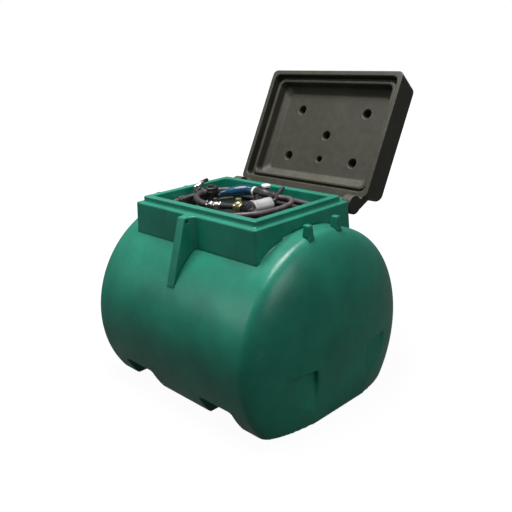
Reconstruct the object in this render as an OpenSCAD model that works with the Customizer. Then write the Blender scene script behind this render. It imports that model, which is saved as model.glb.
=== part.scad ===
// Horizontal polyethylene diesel tank with a pump bay on top and a hinged lid.
// Millimetres. X runs along the tank, +Y to the hinge side, +Z up.
// The origin is on the floor, under the middle of the tank. The lid is drawn open.

/* [Barrel and ends] */
// Outside diameter of the barrel
barrel_d = 1184; // [900:1:1600]
// Straight length of the barrel, shoulder to shoulder
barrel_l = 1152; // [1060:1:2000]
// Height of the barrel's axis over the floor
axis_h = 360; // [300:1:420]
// How far each end bulges out past the shoulder
dome_l = 150; // [120:1:240]
// Wall of the moulding
wall = 10; // [6:0.5:14]
// Lean of the flat lower face of each end, in degrees
lean = 6; // [3:0.5:8]

/* [Feet and fork channels] */
// Width of a fork channel along the tank
channel_w = 240; // [160:1:280]
// Height of a fork channel
channel_h = 122; // [80:1:150]
// Distance of a fork channel's middle from the middle of the tank
channel_x = 326; // [300:1:370]

/* [End pockets] */
// Width of a pocket
pocket_w = 180; // [100:1:220]
// Height of a pocket's top over the floor
pocket_h = 310; // [200:1:330]
// Height at which a pocket runs out over the floor
pocket_low = 110; // [60:1:200]
// Distance of a pocket's middle from the tank's axis
pocket_y = 282; // [200:1:320]
// Distance of a pocket's back wall from the shoulder
pocket_back = 98; // [80:1:110]

/* [Lifting lugs] */
// Distance of a lug's middle from the tank's axis
lug_y = 103; // [60:1:160]
// Height of a lug's top over the crown of the barrel
lug_rise = 51; // [30:1:80]
// Length of a lug's flat top
lug_l = 36; // [20:1:40]
// Width of a lug's flat top
lug_w = 30; // [16:1:36]

/* [Pump bay] */
// Length of the collar over its ledge
collar_l = 960; // [900:1:1000]
// Width of the collar over its ledge
collar_w = 690; // [640:1:760]
// Height of the ledge over the crown of the barrel
ledge_rise = 58; // [40:1:90]
// Width of the ledge outside the raised rim
ledge_w = 30; // [20:1:40]
// Height of the raised rim over the ledge
rim_h = 32; // [20:1:45]
// Width of the rim's top
rim_w = 42; // [36:1:60]
// Depth of the bay under the top of the rim
bay_depth = 107; // [90:1:125]
// Draft of the collar's walls, in degrees
draft = 2.5; // [1:0.5:4]
// Radius of the collar's corners
corner_r = 14; // [12:1:50]

/* [Lock rib] */
// Width of the rib along its front edge
rib_w = 56; // [40:1:80]
// Width of the rib where it meets the wall
rib_root_w = 96; // [84:1:120]
// Reach of the rib's top in front of the wall
rib_reach = 58; // [45:1:75]
// Height of the rib's lower end under the crown of the barrel
rib_drop = 302; // [260:1:380]
// Diameter of the padlock hole
lock_hole_d = 16; // [8:0.5:20]

/* [Hinge] */
// Diameter of a hinge pin
pin_d = 16; // [10:0.5:20]
// Distance of the hinge axis behind the collar's ledge
hinge_back = 67; // [62:1:80]
// Distance of the hinge axis under the ledge
hinge_drop = 38; // [36:1:44]
// Outside diameter of a lid knuckle
knuckle_d = 104; // [90:1:106]
// Width of a lid knuckle
knuckle_w = 60; // [40:1:80]
// Width of a fixed hinge block
block_w = 54; // [30:1:70]
// Running clearance round a pin
pin_clear = 0.1; // [0.02:0.01:0.1]

/* [Lid] */
// Angle of the lid past closed, as drawn
lid_open = 118; // [95:1:122]
// How far the lid reaches over the ledge, all round
lid_over = 13; // [8:1:16]
// Radius of the lid's corners, seen from above
lid_corner_r = 34; // [16:1:50]
// How much further the lid reaches at the front
lid_nose = 10; // [0:1:14]
// Height of the lid
lid_h = 190; // [160:1:230]
// How much narrower the lid is at its top, each side
lid_draft = 25; // [10:1:40]
// Gap between the closed lid and the ledge
lid_gap = 5; // [5:0.5:8]
// Depth of the panel inside the lid
panel_depth = 105; // [90:1:120]
// Width of the lid's lip
lip_w = 30; // [20:1:32]
// Width of the groove inside the lip
groove_w = 20; // [14:1:24]
// Depth of the groove over the ridge
groove_d = 18; // [10:1:24]
// Width of the ridge that meets the collar's rim
ridge_t = 16; // [12:1:20]
// Skin of the double-walled lid
skin = 8; // [5:0.5:9]
// Mouth of a large dimple
dimple_d = 56; // [30:1:60]

/* [Pump] */
// Diameter of the motor
motor_d = 84; // [60:1:86]
// Length of the motor
motor_l = 140; // [110:1:150]
// Diameter of the pump head
head_d = 86; // [76:1:100]
// Length of the pump head
head_l = 36; // [30:1:60]
// Height of the pump's axis over the bay floor
pump_rise = 65; // [62:1:76]
// Turn of the pump's axis from the Y direction, in degrees
pump_turn = 11; // [6:1:20]
// Diameter of the suction pipe
suction_d = 36; // [28:1:40]

/* [Nozzle and hose] */
// Outside diameter of the delivery hose
hose_d = 26; // [22:1:34]
// Radius of the coil's corners
lap_r = 125; // [100:1:150]
// Large end of the blue spout sleeve
sleeve_d = 60; // [44:1:66]
// Width of the ring between sleeve and body
ring_l = 14; // [10:1:20]
// Diameter of the nozzle's body
body_d = 50; // [36:1:56]

/* [Hidden] */

tank_green = [0.13, 0.48, 0.39];
lid_black = [0.15, 0.15, 0.14];
steel = [0.78, 0.78, 0.77];
cast_black = [0.09, 0.09, 0.10];
brass_yellow = [0.78, 0.62, 0.28];
sleeve_blue = [0.12, 0.37, 0.58];
cap_white = [0.88, 0.90, 0.88];

eps = 1;
seat = 0.3;

barrel_r = barrel_d / 2;
half_l = barrel_l / 2;
crown_z = axis_h + barrel_r;
ledge_z = crown_z + ledge_rise;
rim_z = ledge_z + rim_h;
bay_z = rim_z - bay_depth;
lean_z = axis_h + 5;
open_l = collar_l - 2 * (ledge_w + rim_w);
open_w = collar_w - 2 * (ledge_w + rim_w);
band_x = collar_l / 2 - wall;

hinge_y = collar_w / 2 + hinge_back;
hinge_z = ledge_z - hinge_drop;
lid_z = ledge_z + lid_gap;
lid_l = collar_l + 2 * lid_over;
lid_w = collar_w + 2 * lid_over + lid_nose;
lid_top_z = lid_z + lid_h;
panel_z = lid_z + panel_depth;
knuckle_x = lid_l / 2 - 24 - knuckle_w;
block_x = knuckle_x - 5 - block_w;

// Outline of a rectangle with rounded corners
function corner(x, y, r, turn) =
  [for (i = [0:5]) [x + r * cos(turn + 18 * i), y + r * sin(turn + 18 * i)]];
function rounded(l, w, r) = concat(
  corner(l / 2 - r, w / 2 - r, r, 0), corner(r - l / 2, w / 2 - r, r, 90),
  corner(r - l / 2, r - w / 2, r, 180), corner(l / 2 - r, r - w / 2, r, 270));

module slab(l, w, r, z0, z1) {
  translate([0, 0, z0]) linear_extrude(z1 - z0) polygon(rounded(l, w, r));
}

module along_x(x0, x1) {
  translate([x0, 0, 0]) rotate([90, 0, 90]) linear_extrude(x1 - x0) children();
}

module between(p, q) {
  d = q - p;
  translate(p) rotate([0, acos(d.z / norm(d)), atan2(d.y, d.x)]) children();
}

module bar(p, q, d1, d2) {
  between(p, q) cylinder(h = norm(q - p), d1 = d1, d2 = d2, $fn = 40);
}

// Barrel

module barrel_solid(r, low, x0, x1) {
  intersection() {
    translate([x0, 0, axis_h]) rotate([0, 90, 0]) cylinder(r = r, h = x1 - x0, $fn = 120);
    translate([x0, -r - eps, low]) cube([x1 - x0, 2 * r + 2 * eps, axis_h + r]);
  }
}

module barrel_band(x0, x1) {
  foot_x = channel_x - channel_w / 2 - wall;
  end_x = channel_x + channel_w / 2 + wall;
  difference() {
    barrel_solid(barrel_r, channel_h, x0, x1);
    barrel_solid(barrel_r - wall, channel_h + wall, x0 - eps, x1 + eps);
    barrel_solid(barrel_r - wall, wall, -foot_x, foot_x);
    barrel_solid(barrel_r - wall, wall, end_x, half_l + eps);
    barrel_solid(barrel_r - wall, wall, -half_l - eps, -end_x);
  }
}

module barrel_middle() {
  color(tank_green) difference() {
    barrel_band(-band_x, band_x);
    translate([-band_x - eps, wall - collar_w / 2, axis_h])
      cube([2 * band_x + 2 * eps, collar_w - 2 * wall, barrel_r + eps]);
  }
}

module barrel_right_band() {
  color(tank_green) barrel_band(band_x, half_l);
}

module barrel_left_band() {
  color(tank_green) barrel_band(-half_l, -band_x);
}

module foot(x0, x1, in0, in1) {
  color(tank_green) difference() {
    intersection() {
      barrel_solid(barrel_r, 0, x0, x1);
      translate([x0, -barrel_r, 0]) cube([x1 - x0, barrel_d, channel_h]);
    }
    barrel_solid(barrel_r - wall, wall, in0, in1);
  }
}

module middle_foot() {
  x = channel_x - channel_w / 2;
  foot(-x, x, wall - x, x - wall);
}

module right_foot() {
  x = channel_x + channel_w / 2;
  foot(x, half_l, x + wall, half_l + eps);
}

module left_foot() {
  mirror([1, 0, 0]) right_foot();
}

// Ends: half an ellipsoid, flat underneath, with a leaning lower face and two pockets

function quarter_ellipse(a, b) = [for (i = [0:18]) [b * cos(5 * i), a * sin(5 * i)]];

module dome(a, b) {
  translate([half_l, 0, axis_h]) rotate([0, 90, 0])
    rotate_extrude($fn = 120) polygon(concat([[0, 0]], quarter_ellipse(a, b)));
}

module end_form(t) {
  difference() {
    intersection() {
      dome(dome_l - t, barrel_r - t);
      translate([half_l, -barrel_r, t]) cube([dome_l, barrel_d, barrel_d]);
    }
    translate([half_l + dome_l - t, -barrel_r, lean_z]) rotate([0, lean, 0])
      translate([0, 0, -2 * barrel_r]) cube([dome_l, barrel_d, 2 * barrel_r]);
    for (side = [-1, 1])
      translate([half_l, side * pocket_y + pocket_w / 2 + t, 0]) rotate([90, 0, 0])
        linear_extrude(pocket_w + 2 * t)
          polygon([[pocket_back - t, pocket_h + t], [pocket_back + 24 - t, pocket_low - t],
                   [dome_l + eps, pocket_low - t], [dome_l + eps, pocket_h + t]]);
  }
}

module right_end() {
  color(tank_green) difference() {
    end_form(0);
    end_form(wall);
  }
}

module left_end() {
  mirror([1, 0, 0]) right_end();
}

module tank_solid() {
  barrel_solid(barrel_r, 0, -half_l, half_l);
  dome(dome_l, barrel_r);
  mirror([1, 0, 0]) dome(dome_l, barrel_r);
}

module lug(side_x, side_y) {
  top = crown_z + lug_rise;
  low = crown_z - 90;
  spread = 14;
  color(tank_green) scale([side_x, side_y, 1]) difference() {
    intersection() {
      translate([half_l + 12, lug_y + lug_w, 0]) rotate([90, 0, 0]) linear_extrude(2 * lug_w)
        polygon([[-lug_l / 2, top], [lug_l / 2, top], [lug_l / 2 + spread, low], [-lug_l / 2 - spread, low]]);
      translate([half_l - 60, lug_y, 0]) rotate([90, 0, 90]) linear_extrude(150)
        polygon([[-lug_w / 2, top], [lug_w / 2, top], [lug_w / 2 + spread / 2, low], [-lug_w / 2 - spread / 2, low]]);
    }
    tank_solid();
  }
}

// Pump bay collar: drafted walls, a ledge, a raised rim and the inner wall of the bay

function draft_at(z) = (ledge_z - z) * tan(draft);

module skirt(t) {
  low = axis_h + barrel_r / 2;
  top = ledge_z - t;
  hull() {
    slab(collar_l - 2 * t + 2 * draft_at(low), collar_w - 2 * t + 2 * draft_at(low), corner_r - t / 2, low, low + eps);
    slab(collar_l - 2 * t, collar_w - 2 * t, corner_r - t / 2, top - eps, top);
  }
}

module collar_ring() {
  rim_l = collar_l - 2 * ledge_w;
  rim_width = collar_w - 2 * ledge_w;
  difference() {
    union() {
      difference() {
        union() {
          skirt(0);
          slab(rim_l, rim_width, corner_r, ledge_z - eps, rim_z);
        }
        skirt(wall);
        slab(rim_l - 2 * wall, rim_width - 2 * wall, corner_r - wall / 2, ledge_z - 2 * wall, rim_z - wall);
        tank_solid();
      }
      slab(open_l + 2 * wall, open_w + 2 * wall, corner_r, bay_z, rim_z);
    }
    slab(open_l, open_w, corner_r - wall / 2, bay_z - eps, rim_z + eps);
  }
}

module side_wedge(l, w, z0, z1) {
  out = 60;
  in = 170;
  translate([0, 0, z0]) linear_extrude(z1 - z0)
    polygon([[-l / 2 - out, -w / 2 - out], [l / 2 + out, -w / 2 - out],
             [l / 2 - in, in - w / 2], [in - l / 2, in - w / 2]]);
}

module collar_front() {
  color(tank_green) intersection() {
    collar_ring();
    side_wedge(collar_l, collar_w, axis_h, rim_z + eps);
  }
}

module collar_back() {
  color(tank_green) intersection() {
    collar_ring();
    mirror([0, 1, 0]) side_wedge(collar_l, collar_w, axis_h, rim_z + eps);
  }
}

module collar_right() {
  color(tank_green) intersection() {
    collar_ring();
    rotate([0, 0, 90]) side_wedge(collar_w, collar_l, axis_h, rim_z + eps);
  }
}

module collar_left() {
  mirror([1, 0, 0]) collar_right();
}

module bay_floor() {
  color(tank_green) slab(open_l + 2 * wall, open_w + 2 * wall, corner_r, bay_z - wall, bay_z);
}

// Lock rib on the front wall

rib_hole_y = -collar_w / 2 - rib_reach + 16;
rib_hole_z = ledge_z - 24;

module lock_rib() {
  front_y = -collar_w / 2 - rib_reach;
  rib_low_h = crown_z - rib_drop;
  low_y = -sqrt(barrel_r * barrel_r - pow(rib_low_h - axis_h, 2));
  color(tank_green) difference() {
    intersection() {
      along_x(-rib_root_w, rib_root_w)
        polygon([[-collar_w / 2 + 2, ledge_z], [front_y, ledge_z], [low_y, rib_low_h], [low_y + 120, rib_low_h]]);
      linear_extrude(ledge_z + eps)
        polygon([[-rib_w / 2, low_y - eps], [rib_w / 2, low_y - eps], [rib_w / 2, front_y + 26],
                 [rib_root_w / 2, 2 - collar_w / 2], [rib_root_w / 2, 120 - collar_w / 2],
                 [-rib_root_w / 2, 120 - collar_w / 2], [-rib_root_w / 2, 2 - collar_w / 2],
                 [-rib_w / 2, front_y + 26]]);
    }
    barrel_solid(barrel_r, 0, -half_l, half_l);
    translate([-half_l, -collar_w / 2 - 0.1, ledge_z]) rotate([-draft, 0, 0])
      translate([0, 0, -barrel_d]) cube([barrel_l, 200, barrel_d + 20]);
    translate([-rib_root_w, rib_hole_y, rib_hole_z]) rotate([0, 90, 0])
      cylinder(d = lock_hole_d, h = 2 * rib_root_w, $fn = 40);
  }
}

// Hinge

module right_hinge_block() {
  boss_r = pin_d / 2 + 22;
  color(tank_green) difference() {
    union() {
      translate([block_x, hinge_y, hinge_z]) rotate([0, 90, 0]) cylinder(r = boss_r, h = block_w, $fn = 60);
      along_x(block_x, block_x + block_w)
        polygon([[collar_w / 2 - 10, hinge_z - 92], [collar_w / 2 - 10, hinge_z + 28],
                 [hinge_y + 10, hinge_z + 24], [hinge_y + 16, hinge_z - 22]]);
    }
    translate([block_x - eps, collar_w / 2 + 0.1, ledge_z]) rotate([draft, 0, 0])
      translate([0, -200, -barrel_d]) cube([block_w + 2 * eps, 200, barrel_d + 20]);
    pin_hole(block_x - eps, block_x + block_w + eps);
  }
}

module left_hinge_block() {
  mirror([1, 0, 0]) right_hinge_block();
}

module pin_hole(x0, x1) {
  translate([x0, hinge_y, hinge_z]) rotate([0, 90, 0])
    cylinder(d = pin_d + 2 * pin_clear, h = x1 - x0, $fn = 60);
}

module right_hinge_pin() {
  color(steel) translate([block_x + 2, hinge_y, hinge_z]) rotate([0, 90, 0])
    cylinder(d = pin_d, h = knuckle_x + knuckle_w - 10 - block_x, $fn = 60);
}

module left_hinge_pin() {
  mirror([1, 0, 0]) right_hinge_pin();
}

// Lid, modelled closed and swung open about the hinge axis

module opened() {
  translate([0, hinge_y, hinge_z]) rotate([-lid_open, 0, 0]) translate([0, -hinge_y, -hinge_z]) children();
}

function lid_in(z) = lid_draft * (z - lid_z) / lid_h;

module lid_outer(t) {
  round_h = 16;
  shoulder_z = lid_top_z - round_h;
  hull() {
    slab(lid_l - 2 * t, lid_w - 2 * t, lid_corner_r, lid_z, lid_z + eps);
    slab(lid_l - 2 * t - 2 * lid_in(shoulder_z), lid_w - 2 * t - 2 * lid_in(shoulder_z), lid_corner_r + 4, shoulder_z - eps, shoulder_z);
    slab(lid_l - 2 * t - 2 * lid_draft - 12, lid_w - 2 * t - 2 * lid_draft - 12, lid_corner_r, lid_top_z - 4 - t, lid_top_z - 3 - t);
    slab(lid_l - 2 * t - 2 * lid_draft - 26, lid_w - 2 * t - 2 * lid_draft - 26, lid_corner_r, lid_top_z - t - eps, lid_top_z - t);
  }
}

module placed() {
  opened() translate([0, -lid_nose / 2, 0]) children();
}

lip_l = lid_l - 2 * lip_w;
lip_width = lid_w - 2 * lip_w;
ridge_l = lip_l - 2 * groove_w;
ridge_width = lip_width - 2 * groove_w;
mouth_l = ridge_l - 2 * ridge_t;
mouth_width = ridge_width - 2 * ridge_t;
ridge_z = rim_z + lid_gap;
groove_z = ridge_z + groove_d;
shelf_z = ridge_z + 0.65 * (panel_z - ridge_z);

module lid_recess(t) {
  hull() {
    slab(mouth_l + 2 * t, mouth_width + 2 * t, lid_corner_r, ridge_z - eps, ridge_z);
    slab(mouth_l - 18 + 2 * t, mouth_width - 18 + 2 * t, lid_corner_r, shelf_z, shelf_z + eps);
    slab(mouth_l - 94 + 2 * t, mouth_width - 98 + 2 * t, lid_corner_r, panel_z + t - eps, panel_z + t);
  }
}

module lid_form() {
  difference() {
    lid_outer(0);
    difference() {
      lid_outer(skin);
      slab(lid_l, lid_w, lid_corner_r, lid_z - eps, groove_z + skin);
      lid_recess(skin);
    }
    lid_recess(0);
    slab(lip_l, lip_width, lid_corner_r, lid_z - eps, ridge_z);
    difference() {
      slab(lip_l, lip_width, lid_corner_r, lid_z - eps, groove_z);
      slab(ridge_l, ridge_width, lid_corner_r, lid_z - 2 * eps, groove_z + eps);
    }
  }
}

dimples = [[-250, -150, 1], [250, -150, 1], [0, 0, 1], [-250, 150, 1], [250, 150, 1], [0, 150, 0.7]];

module lid_top() {
  color(lid_black) placed() difference() {
    union() {
      intersection() {
        lid_form();
        translate([0, 0, panel_z]) slab(lid_l, lid_w, lid_corner_r, 0, lid_h);
      }
      for (d = dimples)
        translate([d.x, d.y + lid_nose / 2, panel_z + skin / 2])
          cylinder(d1 = dimple_d * d.z + 2 * skin, d2 = dimple_d * d.z / 2 + 2 * skin, h = lid_top_z - panel_z - 1.5 * skin, $fn = 32);
    }
    for (d = dimples)
      translate([d.x, d.y + lid_nose / 2, panel_z - eps])
        cylinder(d1 = dimple_d * d.z, d2 = dimple_d * d.z / 2, h = lid_top_z - panel_z - 2 * skin, $fn = 32);
  }
}

module lid_wall(turn, l, w) {
  color(lid_black) placed() difference() {
    intersection() {
      lid_form();
      rotate([0, 0, turn]) side_wedge(l, w, lid_z - eps, panel_z);
    }
    slab(mouth_l - 93, mouth_width - 97, lid_corner_r, panel_z - 0.4, panel_z + eps);
  }
}

module lid_front_wall() {
  lid_wall(0, lid_l, lid_w);
}

module lid_back_wall() {
  flange_y = collar_w / 2 + lid_over;
  lid_wall(180, lid_l, lid_w);
  color(lid_black) opened() along_x(2 - knuckle_x, knuckle_x - 2)
    polygon([[flange_y - 3, lid_z], [flange_y + 34, lid_z], [flange_y + 34, lid_z + 18], [flange_y - 3, lid_z + 24]]);
}

module lid_right_wall() {
  lid_wall(90, lid_w, lid_l);
}

module lid_left_wall() {
  lid_wall(270, lid_w, lid_l);
}

lid_back = collar_w / 2 + lid_over + seat;

module right_lid_knuckle() {
  color(lid_black) difference() {
    union() {
      translate([knuckle_x, hinge_y, hinge_z]) rotate([0, 90, 0]) cylinder(d = knuckle_d, h = knuckle_w, $fn = 80);
      opened() along_x(knuckle_x, knuckle_x + knuckle_w)
        polygon([[lid_back - lid_in(lid_z + 2), lid_z + 2], [lid_back - lid_in(lid_z + 66), lid_z + 66],
                 [hinge_y + 34, hinge_z + 34], [hinge_y - 20, hinge_z - 10]]);
    }
    pin_hole(knuckle_x - eps, knuckle_x + knuckle_w - 7);
  }
}

module left_lid_knuckle() {
  mirror([1, 0, 0]) right_lid_knuckle();
}

// Pump, standing on the bay floor

function in_bay(x, y, z) = [x * open_l / 816, y * open_w / 546, bay_z + z];

pump_dir = [sin(pump_turn), cos(pump_turn), 0];
pump_side = [-cos(pump_turn), sin(pump_turn), 0];
pump_at = in_bay(137, -53, pump_rise);
head_end = pump_at - head_l * pump_dir;
head_mid = pump_at - head_l / 2 * pump_dir;
motor_far = pump_at + motor_l * pump_dir;

module pump_motor() {
  color(steel) difference() {
    union() {
      bar(pump_at + seat * pump_dir, motor_far - 12 * pump_dir, motor_d, motor_d);
      bar(motor_far - 13 * pump_dir, motor_far, motor_d - 1, motor_d - 22);
    }
    between(pump_at + motor_d / 4 * pump_dir, motor_far)
      difference() {
        cylinder(d = motor_d + 2, h = 4, $fn = 40);
        translate([0, 0, -eps]) cylinder(d = motor_d - 4, h = 6, $fn = 40);
      }
  }
}

module pump_head() {
  color(cast_black) union() {
    bar(head_end + 8 * pump_dir, pump_at, head_d, head_d);
    bar(head_end, head_end + 9 * pump_dir, head_d - 22, head_d - 10);
    bar(head_mid, head_mid + (head_d / 2 + 10) * pump_side, 34, 32);
    bar(head_mid, head_mid - (head_d / 2 + 8) * pump_side, 34, 32);
  }
}

module pump_bracket() {
  t = 5;
  color(cast_black) translate([pump_at.x, pump_at.y, bay_z + seat]) rotate([0, 0, 90 - pump_turn]) union() {
    translate([16, -motor_d / 2, 0]) cube([motor_l - 24, motor_d, t]);
    for (x = [26, motor_l - 40]) difference() {
      translate([x, -motor_d / 2, 0]) cube([14, motor_d, pump_rise]);
      translate([x - eps, 0, pump_rise - seat]) rotate([0, 90, 0]) cylinder(d = motor_d + 2 * seat, h = 16, $fn = 40);
    }
  }
}

// Suction side: brass elbow, ball valve, formed pipe and filter

elbow_in = head_mid + (head_d / 2 + 10 + seat) * pump_side;
elbow_mid = elbow_in + 26 * pump_side;
valve_to = in_bay(-128, -100, 58);
valve_dir = (valve_to - elbow_mid) / norm(valve_to - elbow_mid);
valve_from = valve_to - 76 * valve_dir;

module suction_elbow() {
  q = valve_from - seat * valve_dir;
  color(brass_yellow) union() {
    bar(elbow_in, elbow_mid, 38, 38);
    translate(elbow_mid - [0, 0, 26]) cylinder(d = 46, h = 50, $fn = 40);
    bar(elbow_mid, q, 28, 28);
    bar(q - 26 * valve_dir, q, 38, 38);
  }
}

module ball_valve() {
  color(steel) union() {
    bar(valve_from, valve_to, 32, 32);
    bar(valve_from, valve_from + 18 * valve_dir, 42, 42);
    bar(valve_to - 18 * valve_dir, valve_to, 42, 42);
    translate(valve_from + 38 * valve_dir) cylinder(d = 20, h = 26, $fn = 40);
  }
}

module valve_lever() {
  color(cast_black) translate(valve_from + 38 * valve_dir + [0, 0, 26 + seat]) rotate([0, 0, -28]) union() {
    cylinder(d = 24, h = 9, $fn = 40);
    translate([-10, 0, 0]) cube([20, 100, 8]);
  }
}

filter_at = in_bay(-300, 56, 0);
filter_d = 78;
filter_in = in_bay(-300, 13, 86);
pipe_path = concat([valve_to + 0.4 * valve_dir], [valve_to + 14 * valve_dir],
  [for (p = [[-178, -108, 62], [-214, -106, 67], [-248, -94, 73], [-274, -72, 79], [-291, -42, 84], [-299, -12, 86]])
    in_bay(p.x, p.y, p.z)], [filter_in]);

module suction_pipe() {
  color(cast_black) tube(pipe_path, suction_d, 16);
}

module filter() {
  color(cast_black) translate([filter_at.x, filter_in.y + 4 + filter_d / 2, bay_z + seat]) union() {
    cylinder(d = filter_d, h = 64, $fn = 48);
    translate([0, 0, 63]) cylinder(d = filter_d + 8, h = 44, $fn = 48);
    translate([0, 0, 106]) cylinder(d = 34, h = 12, $fn = 6);
  }
}

gauge_at = in_bay(-332, -30, 0);

module level_gauge() {
  p = gauge_at + [0, 0, 112];
  q = p + [-8, 64, 24];
  color(steel) union() {
    translate(gauge_at + [0, 0, seat]) cylinder(d = 40, h = 6, $fn = 40);
    translate(gauge_at + [0, 0, seat]) cylinder(d = 18, h = 104, $fn = 40);
    translate(p - [0, 0, 16]) cylinder(d = 30, h = 31, $fn = 40);
    bar(p, q, 26, 27);
    bar(q - 0.04 * (q - p), q + [-8, 40, 4], 23, 19);
  }
}

// Delivery side: elbow, coiled hose and nozzle

delivery_at = head_mid - (head_d / 2 + 8 + seat) * pump_side;
hose_from = delivery_at - 34 * pump_side;

module delivery_elbow() {
  color(cast_black) union() {
    bar(delivery_at, hose_from, 36, 36);
    bar(delivery_at, delivery_at - 14 * pump_side, 46, 46);
  }
}

hose_low = bay_z + hose_d / 2;
pitch = hose_d + 4;
run_x = open_l / 2 - hose_d / 2 - 4;
run_y = open_w / 2 - hose_d / 2 - 4;

// One corner of the coil, seen from above, anticlockwise from the front right
function coil_corner(k, x, y, z, rise) = [for (j = [0:4])
  [(k == 0 || k == 1 ? x - lap_r : lap_r - x) + lap_r * cos(90 * k - 90 + 22.5 * j),
   (k == 1 || k == 2 ? y - lap_r : lap_r - y) + lap_r * sin(90 * k - 90 + 22.5 * j),
   z + rise * j / 4]];

hose_start = [for (p = [[250, -84, 58], [292, -79, 48], [330, -58, 36], [356, -24, 26], [371, 20, 18]])
  in_bay(p.x, p.y, p.z)];
hose_laps = [for (n = [1:6]) each coil_corner(n % 4, run_x, run_y, hose_low + pitch * (n - 0.8) / 4, pitch / 8)];
hose_last = coil_corner(3, run_x - 18, run_y - 35, hose_low + 1.5 * pitch, pitch / 8);
hose_end = [for (p = [[60, -219, 62], [130, -216, 66], [186, -203, 71], [230, -176, 75], [262, -134, 76], [281, -84, 76],
  [292, -20, 77], [296, 44, 80], [287, 98, 84], [262, 138, 88], [226, 160, 90], [190, 162, 90]])
  in_bay(p.x, p.y, p.z)];
nozzle_from = in_bay(150, 156, 90);
nozzle_ring_at = in_bay(-36, 147, 99);
nozzle_tip = in_bay(-192, 30, 88);
body_dir = (nozzle_ring_at - nozzle_from) / norm(nozzle_ring_at - nozzle_from);
spout_dir = (nozzle_tip - nozzle_ring_at) / norm(nozzle_tip - nozzle_ring_at);
hose_path = concat([hose_from - 0.4 * pump_side, hose_from - 16 * pump_side], hose_start, hose_laps, hose_last,
  hose_end, [nozzle_from - 14 * body_dir, nozzle_from]);

function pick(list, i) = list[max(0, min(len(list) - 1, i))];

module tube(path, d, sides) {
  n = len(path);
  function heading(i) = pick(path, i + 1) - pick(path, i - 1);
  function side(i) = cross(heading(i), [0, 0, 1]) / norm(cross(heading(i), [0, 0, 1]));
  function lift(i) = cross(side(i), heading(i)) / norm(heading(i));
  ring = [for (i = [0:n - 1]) for (k = [0:sides - 1])
    path[i] + d / 2 * (cos(360 * k / sides) * side(i) + sin(360 * k / sides) * lift(i))];
  faces = concat([[for (k = [0:sides - 1]) k]], [[for (k = [0:sides - 1]) n * sides - 1 - k]],
    [for (i = [0:n - 2]) for (k = [0:sides - 1])
      [i * sides + k, (i + 1) * sides + k, (i + 1) * sides + (k + 1) % sides, i * sides + (k + 1) % sides]]);
  polyhedron(ring, faces);
}

module delivery_hose() {
  color(cast_black) tube(hose_path, hose_d, 10);
}

module nozzle_body() {
  p = nozzle_from + seat * body_dir;
  q = nozzle_ring_at - (ring_l + seat) * body_dir;
  guard = p + 26 * body_dir;
  color(cast_black) union() {
    bar(p, p + 40 * body_dir, 36, 40);
    bar(p + 39 * body_dir, q, body_d - 6, body_d);
    bar(guard - [0, 0, 4], guard + [40, -42, -8], 16, 14);
    bar(guard - [0, 0, 4], guard + [-2, 65, 34], 18, 14);
  }
}

module nozzle_ring() {
  color(cap_white) bar(nozzle_ring_at - ring_l * body_dir, nozzle_ring_at, body_d + 2, body_d + 2);
}

module spout_sleeve() {
  along = body_dir * spout_dir;
  reach = sleeve_d / 2 * sqrt(1 - along * along) / along + 2;
  p = nozzle_ring_at + reach * spout_dir;
  q = p + 0.25 * (nozzle_tip - p);
  color(sleeve_blue) hull() {
    bar(nozzle_ring_at + seat * body_dir, nozzle_ring_at + 2 * body_dir, sleeve_d - 5, sleeve_d - 4);
    bar(p, q, sleeve_d, sleeve_d - 1);
    bar(nozzle_tip - eps * spout_dir, nozzle_tip, 24, 22);
  }
}

// Filler on the bay floor

filler_at = in_bay(-10, 217, 0);

module filler_neck() {
  color(cast_black) translate([filler_at.x, filler_at.y, bay_z + seat]) cylinder(d = 36, h = 112, $fn = 48);
}

module filler_cap() {
  color(cap_white) translate([filler_at.x, filler_at.y, bay_z + 112 + 2 * seat]) union() {
    cylinder(d = 56, h = 12, $fn = 48);
    translate([0, 0, 11]) cylinder(d1 = 50, d2 = 40, h = 5, $fn = 48);
  }
}

barrel_middle();
barrel_left_band();
barrel_right_band();
left_end();
right_end();
left_foot();
middle_foot();
right_foot();
lug(-1, -1);  // left_front_lug
lug(-1, 1);  // left_back_lug
lug(1, -1);  // right_front_lug
lug(1, 1);  // right_back_lug
collar_front();
collar_back();
collar_left();
collar_right();
bay_floor();
lock_rib();
left_hinge_block();
right_hinge_block();
left_hinge_pin();
right_hinge_pin();
lid_top();
lid_front_wall();
lid_back_wall();
lid_left_wall();
lid_right_wall();
left_lid_knuckle();
right_lid_knuckle();
pump_bracket();
pump_motor();
pump_head();
delivery_elbow();
suction_elbow();
ball_valve();
filter();
suction_pipe();
level_gauge();
valve_lever();
filler_neck();
filler_cap();
delivery_hose();
nozzle_body();
nozzle_ring();
spout_sleeve();
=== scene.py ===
import math

import bmesh
import bpy
from mathutils import Matrix, Vector


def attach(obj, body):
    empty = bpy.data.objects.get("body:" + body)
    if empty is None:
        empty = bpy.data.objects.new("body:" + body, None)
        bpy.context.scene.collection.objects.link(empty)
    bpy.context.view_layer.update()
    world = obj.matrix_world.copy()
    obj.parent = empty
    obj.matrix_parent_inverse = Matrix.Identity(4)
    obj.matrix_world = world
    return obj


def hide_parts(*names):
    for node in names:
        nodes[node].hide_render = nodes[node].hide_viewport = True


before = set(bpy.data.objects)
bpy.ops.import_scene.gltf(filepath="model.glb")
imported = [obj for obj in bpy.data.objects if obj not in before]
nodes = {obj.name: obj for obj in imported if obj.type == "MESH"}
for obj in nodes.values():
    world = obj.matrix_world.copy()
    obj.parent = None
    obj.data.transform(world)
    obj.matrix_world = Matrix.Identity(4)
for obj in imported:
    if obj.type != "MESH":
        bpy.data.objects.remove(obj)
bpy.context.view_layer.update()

TANK = "tank"
LID = "lid"
MM = 0.001


# Camera at the photograph's viewing angle

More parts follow.
